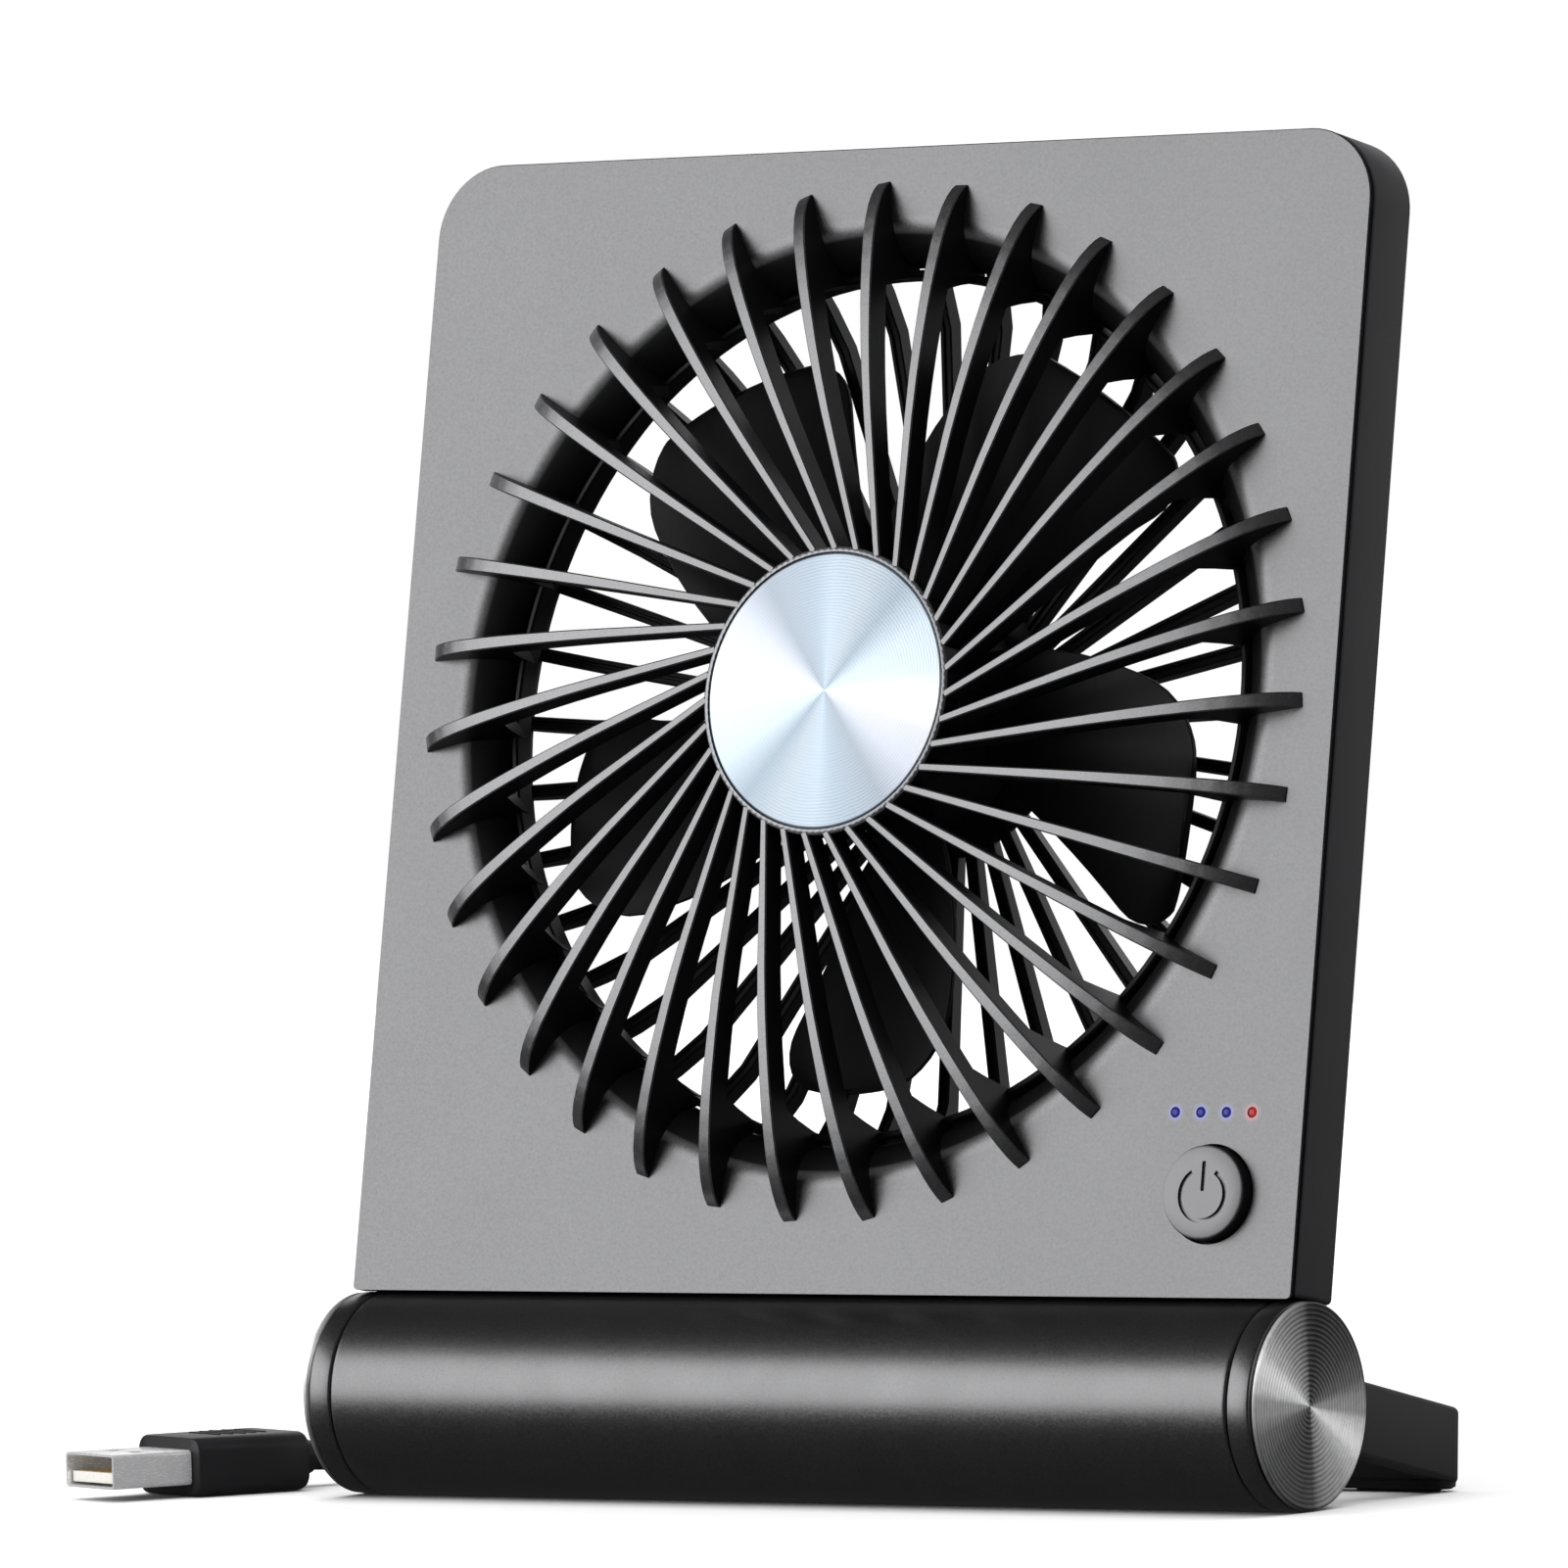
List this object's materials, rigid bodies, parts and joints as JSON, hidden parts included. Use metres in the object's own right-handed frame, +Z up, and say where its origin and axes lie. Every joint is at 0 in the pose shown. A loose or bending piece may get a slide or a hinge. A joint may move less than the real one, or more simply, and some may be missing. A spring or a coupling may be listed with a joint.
{
  "type": "desk fan",
  "caption": "Thin square rechargeable desk fan with a swirled dome grille, a round battery tube as its foot, a hinged U stand and a coiled charging lead with a USB plug.",
  "frame": {"origin": "centre of the fan's box at the ground it stands on, measured without the charging lead", "axes": "+Z up, -Y the way the fan faces, +X to the viewer's right as they face the fan"},
  "size_m": [0.1782, 0.1291, 0.1709],
  "materials": {
    "front_grey": "fine metallic grey paint, satin",
    "button_grey": "fine metallic grey paint, satin",
    "shell_black": "black, satin",
    "grille_black": "black, satin",
    "rotor_black": "black, satin",
    "tube_black": "black, satin",
    "stand_black": "black, satin",
    "spun_metal": "spun, bluish silver",
    "turned_metal": "turned with fine round grooves",
    "screw_steel": "bright",
    "bright_steel": "bright",
    "bearing_bronze": "sintered, dull",
    "winding": "enamelled wire",
    "magnet": "dull ferrite",
    "board": "green solder mask",
    "switch_black": "moulded",
    "cell": "blue shrink wrap",
    "light_blue": "clear, lit blue",
    "light_red": "clear, lit red",
    "lead_red": "insulated wire",
    "lead_white": "flat ribbon of insulated wires",
    "plug_black": "moulded, satin",
    "cord_black": "soft, satin",
    "tie_black": "matte",
    "pad_rubber": "matte",
    "washer_fibre": "matte",
    "end_plug_black": "moulded",
    "tongue_white": "moulded"
  },
  "bodies": {
    "fan_head": {"front_plate": "front_grey", "front_grille": "front_grey", "hub_disc": "spun_metal", "rear_housing": "shell_black", "rear_grille": "grille_black", "housing_screw_1": "screw_steel", "housing_screw_2": "screw_steel", "housing_screw_3": "screw_steel", "housing_screw_4": "screw_steel", "grille_screw_1": "screw_steel", "grille_screw_2": "screw_steel", "grille_screw_3": "screw_steel", "grille_screw_4": "screw_steel", "motor_bracket": "bright_steel", "motor_stator": "winding", "bearing_sleeve": "bearing_bronze", "control_board": "board", "tact_switch": "switch_black", "led_1": "light_blue", "led_2": "light_blue", "led_3": "light_blue", "led_4": "light_red", "charging_board": "board", "charging_socket": "bright_steel", "battery_lead": "lead_red", "board_lead": "lead_white", "base_tube": "tube_black", "battery_cell_1": "cell", "battery_cell_2": "cell", "protection_board": "board", "end_plug_left": "end_plug_black", "end_plug_right": "end_plug_black", "friction_washer_left": "washer_fibre", "friction_washer_right": "washer_fibre", "pivot_screw_left": "screw_steel", "pivot_screw_right": "screw_steel", "neck_screw_1": "screw_steel", "neck_screw_2": "screw_steel", "charge_plug_body": "plug_black", "charge_plug_tip": "bright_steel", "charge_relief": "plug_black", "cord_drop": "cord_black", "cord_coil": "cord_black", "cord_run": "cord_black", "cord_tie": "tie_black", "usb_relief": "plug_black", "usb_plug_body": "plug_black", "usb_plug_shell": "bright_steel", "usb_tongue": "tongue_white"},
    "fan_rotor": {"impeller": "rotor_black", "rotor_magnet": "magnet", "motor_shaft": "bright_steel"},
    "stand": {"stand_bracket": "stand_black", "foot_pad_left": "pad_rubber", "foot_pad_right": "pad_rubber", "end_disc_left": "turned_metal", "end_disc_right": "turned_metal"},
    "button": {"power_button": "button_grey"}
  },
  "joints": [
    {"name": "fan_spin", "type": "hinge", "parent": "fan_head", "child": "fan_rotor", "pos_m": [0, 0.00351, 0.09992], "axis": [0, -0.9833, 0.1822], "continuous": true},
    {"name": "stand_fold", "type": "hinge", "parent": "fan_head", "child": "stand", "pos_m": [0, -0.0126, 0.013], "axis": [1, 0, 0], "range_deg": [-88, 48]},
    {"name": "button_press", "type": "slide", "parent": "fan_head", "child": "button", "axis": [0, 0.9833, -0.1822], "range_m": [0, 0.0005], "stiffness_N_per_m": 800}
  ]
}
